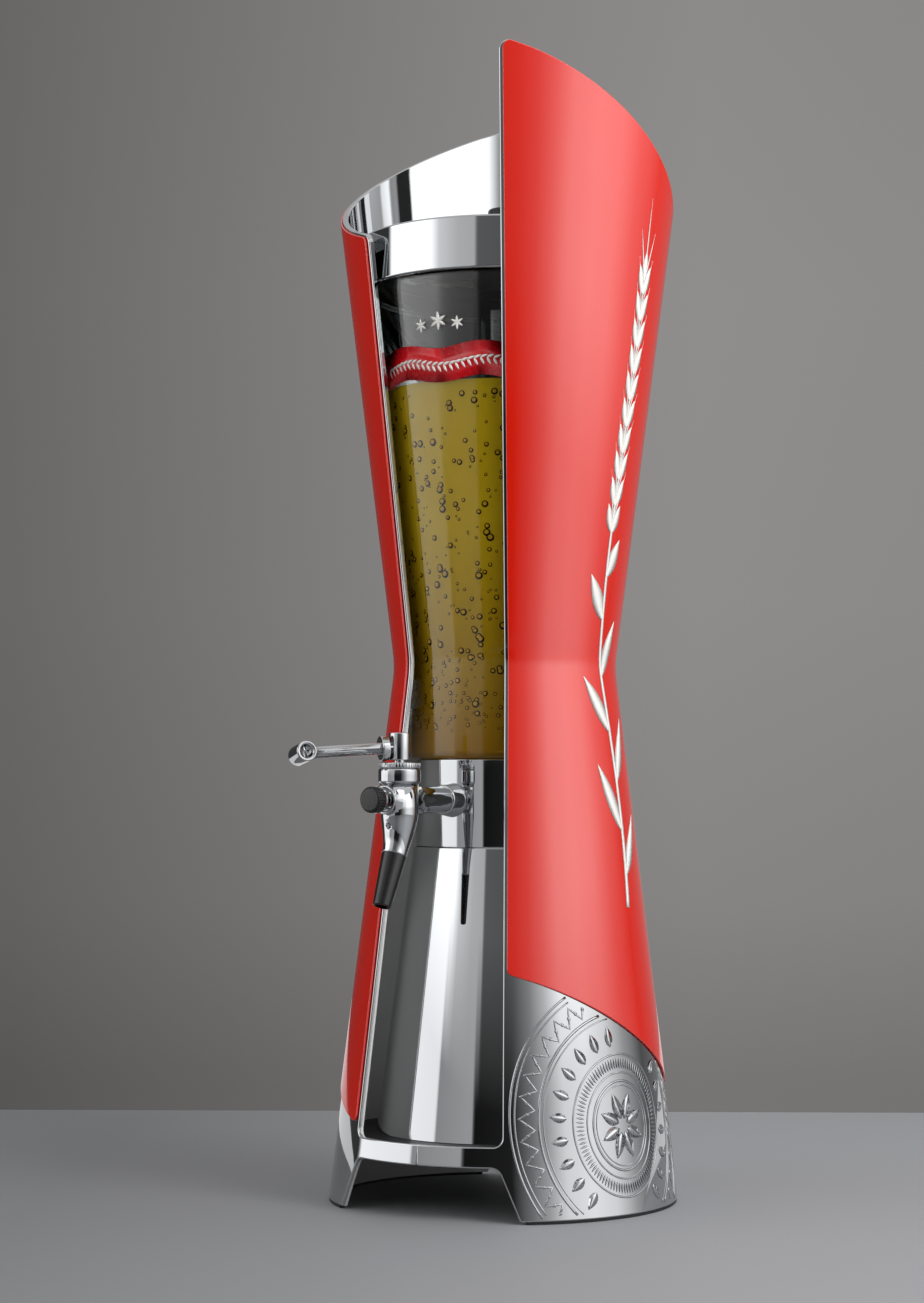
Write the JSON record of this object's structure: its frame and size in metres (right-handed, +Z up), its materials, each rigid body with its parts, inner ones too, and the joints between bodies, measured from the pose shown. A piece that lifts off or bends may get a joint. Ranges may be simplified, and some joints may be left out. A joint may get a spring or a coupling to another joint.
{
  "type": "beer tower dispenser",
  "caption": "Table-top drink tower: red and chrome hourglass half shells round a clear container with an ice tube, on a chrome pedestal, with a rotary-lever tap, flow knob and black nozzle.",
  "frame": {"origin": "where the tower's vertical axis meets the table it stands on", "axes": "+Z up along the tower's axis, -Y towards the front, out through the middle of the tap side window, +X to the right seen from the front"},
  "size_m": [0.1514, 0.1868, 0.4829],
  "materials": {
    "chrome": "polished chrome plate on steel or brass",
    "red_lacquer": "glossy red lacquer on sheet metal",
    "clear_plastic": "clear polycarbonate, polished",
    "black_plastic": "black ABS, fine satin",
    "black_gloss": "black moulded plastic, knurled rim",
    "black_rubber": "black rubber, smooth",
    "silicone": "translucent white silicone",
    "plated_steel": "zinc-plated steel",
    "cast_iron": "cast iron, painted dark grey",
    "brass": "turned brass"
  },
  "bodies": {
    "tower": {"shell_right": "chrome", "shell_left": "chrome", "panel_right": "red_lacquer", "panel_left": "red_lacquer", "foot_strip_right": "black_rubber", "foot_strip_left": "black_rubber", "base_deck": "black_plastic", "deck_screws": "plated_steel", "pedestal_screws": "plated_steel", "ballast": "cast_iron", "tie_rod": "plated_steel", "tie_nut": "plated_steel", "pedestal": "chrome", "neck": "chrome", "container": "clear_plastic", "waist_spacers": "silicone", "rosette": "chrome", "shank": "chrome", "shank_nut": "brass", "shank_washer": "silicone", "shank_gasket": "silicone", "tap_body": "chrome", "bonnet": "chrome", "bonnet_ring": "chrome", "stem_seal": "silicone", "nozzle": "black_rubber", "flow_gland": "brass"},
    "lever": {"valve_plug": "brass", "lever_hub": "chrome", "hub_screw": "plated_steel", "lever_collar": "chrome", "lever_rod": "chrome", "lever_barrel": "chrome"},
    "flow_knob_turning": {"flow_stem": "chrome", "flow_cup": "chrome", "flow_knob": "black_gloss"},
    "needle": {"flow_needle": "brass"},
    "lid": {"lid_ring": "chrome", "lid_gasket": "silicone", "lid_plate": "black_plastic", "ice_tube": "clear_plastic"},
    "cap": {"ice_cap": "black_plastic", "ice_cap_seal": "silicone"}
  },
  "joints": [
    {"name": "lever_turn", "type": "hinge", "parent": "tower", "child": "lever", "pos_m": [-0.00781, -0.07429, 0.1733], "axis": [0, 0, -1], "range_deg": [-34, 56]},
    {"name": "flow_turn", "type": "hinge", "parent": "tower", "child": "flow_knob_turning", "pos_m": [-0.00938, -0.08921, 0.1733], "axis": [0.1045, 0.9945, 0], "range_deg": [-90, 360]},
    {"name": "needle_feed", "type": "slide", "parent": "tower", "child": "needle", "axis": [0.1045, 0.9945, 0], "range_m": [-0.0004, 0.0016]},
    {"name": "lid_lift", "type": "slide", "parent": "tower", "child": "lid", "axis": [0, 0, 1], "range_m": [0, 0.21]},
    {"name": "cap_lift", "type": "slide", "parent": "lid", "child": "cap", "axis": [0, 0, 1], "range_m": [0, 0.04]}
  ],
  "couplings": [
    {"joint": "needle_feed", "follows": "flow_turn", "m_per_rad": 0.00025465}
  ]
}
